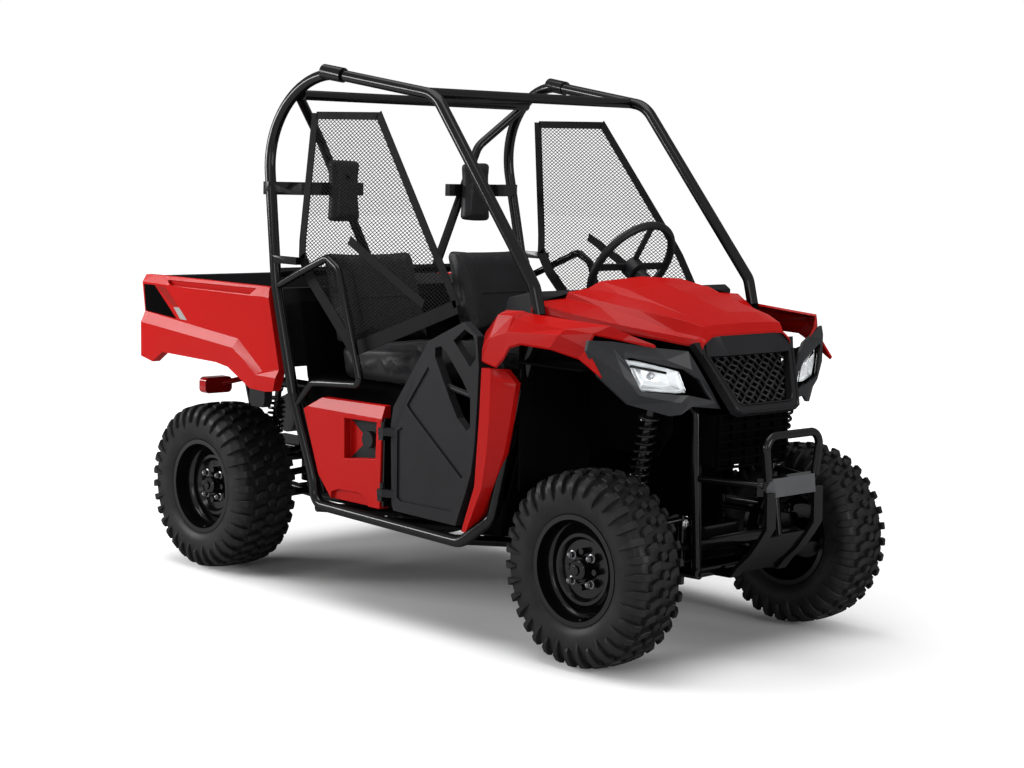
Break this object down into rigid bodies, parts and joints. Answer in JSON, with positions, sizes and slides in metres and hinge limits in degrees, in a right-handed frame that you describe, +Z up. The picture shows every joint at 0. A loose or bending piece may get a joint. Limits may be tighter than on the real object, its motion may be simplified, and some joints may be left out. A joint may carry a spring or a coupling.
{
  "type": "side-by-side utility vehicle",
  "caption": "Side-by-side utility vehicle with roll cage, half doors, side nets, bucket seats and a tilting cargo bed on knobbly tyres.",
  "frame": {"origin": "on the ground, under the middle of the vehicle", "axes": "+Z up, front of the vehicle towards -Y, +X to the vehicle's left"},
  "size_m": [1.26, 2.614, 1.8027],
  "materials": {
    "painted_red": "moulded gloss red, coloured through",
    "black_steel": "satin black powder coat",
    "wheel_black": "satin black enamel",
    "tyre_rubber": "matt moulded rubber",
    "black_plastic": "fine-grained moulded plastic",
    "grey_plastic": "satin dark grey moulded plastic",
    "lamp_clear": "clear polished lens",
    "lamp_red": "gloss red lens",
    "damper_steel": "black coated spring steel",
    "engine_metal": "cast, dull",
    "seat_vinyl": "grained vinyl",
    "net_fabric": "open polyester mesh"
  },
  "bodies": {
    "chassis": {"cage_bars": "black_steel", "cage_left": "black_steel", "cage_right": "black_steel", "dampers": "damper_steel", "dashboard": "black_plastic", "door_hinges": "black_steel", "drive_shafts": "black_steel", "engine_block": "engine_metal", "exhaust_muffler": "black_steel", "floor_pan": "black_plastic", "frame": "black_steel", "front_bumper": "black_steel", "front_fenders": "painted_red", "front_side_panels": "painted_red", "grille": "black_plastic", "headlamp_bezels": "grey_plastic", "headlamps": "lamp_clear", "headrests": "seat_vinyl", "hip_guards": "black_steel", "hitch_receiver": "black_steel", "hood": "painted_red", "nose_cover": "black_plastic", "radiator_guard": "black_plastic", "seat_backs": "seat_vinyl", "seat_cushions": "seat_vinyl", "side_nets": "net_fabric", "steering_column": "black_plastic", "steering_rack": "black_steel", "suspension_arms": "black_steel", "tail_lamps": "lamp_red", "under_seat_panels": "painted_red", "wheel_liners": "black_plastic"},
    "knuckle_right": {"knuckle_right": "black_steel"},
    "knuckle_left": {"knuckle_left": "black_steel"},
    "wheel_front_right": {"tyre_front_right": "tyre_rubber", "rim_front_right": "wheel_black"},
    "wheel_front_left": {"tyre_front_left": "tyre_rubber", "rim_front_left": "wheel_black"},
    "wheel_rear_right": {"tyre_rear_right": "tyre_rubber", "rim_rear_right": "wheel_black"},
    "wheel_rear_left": {"tyre_rear_left": "tyre_rubber", "rim_rear_left": "wheel_black"},
    "hand_wheel": {"steering_wheel": "black_plastic"},
    "door_right": {"door_right": "black_plastic"},
    "door_left": {"door_left": "black_plastic"},
    "bed": {"cargo_bed": "black_plastic", "bed_sides": "painted_red"},
    "tailgate": {"tailgate": "black_plastic"}
  },
  "joints": [
    {"name": "steer_right", "type": "hinge", "parent": "chassis", "child": "knuckle_right", "pos_m": [-0.43, -0.938, 0.302], "axis": [0, 0, 1], "range_deg": [-28, 28]},
    {"name": "steer_left", "type": "hinge", "parent": "chassis", "child": "knuckle_left", "pos_m": [0.43, -0.938, 0.302], "axis": [0, 0, 1], "range_deg": [-28, 28]},
    {"name": "hand_wheel_turn", "type": "hinge", "parent": "chassis", "child": "hand_wheel", "pos_m": [0.285, -0.33, 1.15], "axis": [0, 0.8403, 0.5421], "range_deg": [-336, 336]},
    {"name": "spin_front_right", "type": "hinge", "parent": "knuckle_right", "child": "wheel_front_right", "pos_m": [-0.493, -0.938, 0.302], "axis": [1, 0, 0], "continuous": true},
    {"name": "spin_front_left", "type": "hinge", "parent": "knuckle_left", "child": "wheel_front_left", "pos_m": [0.493, -0.938, 0.302], "axis": [1, 0, 0], "continuous": true},
    {"name": "spin_rear_right", "type": "hinge", "parent": "chassis", "child": "wheel_rear_right", "pos_m": [-0.5075, 0.916, 0.302], "axis": [1, 0, 0], "continuous": true},
    {"name": "spin_rear_left", "type": "hinge", "parent": "chassis", "child": "wheel_rear_left", "pos_m": [0.5075, 0.916, 0.302], "axis": [1, 0, 0], "continuous": true},
    {"name": "door_right_swing", "type": "hinge", "parent": "chassis", "child": "door_right", "pos_m": [-0.612, -0.098, 0.5], "axis": [0, 0, -1], "range_deg": [0, 75]},
    {"name": "door_left_swing", "type": "hinge", "parent": "chassis", "child": "door_left", "pos_m": [0.612, -0.098, 0.5], "axis": [0, 0, 1], "range_deg": [0, 75]},
    {"name": "bed_tilt", "type": "hinge", "parent": "chassis", "child": "bed", "pos_m": [0, 1.06, 0.712], "axis": [-1, 0, 0], "range_deg": [0, 40]},
    {"name": "tailgate_drop", "type": "hinge", "parent": "bed", "child": "tailgate", "pos_m": [0, 1.285, 0.788], "axis": [-1, 0, 0], "range_deg": [0, 90]}
  ],
  "couplings": [
    {"joint": "steer_left", "follows": "steer_right", "ratio": 1},
    {"joint": "hand_wheel_turn", "follows": "steer_right", "ratio": 12}
  ]
}
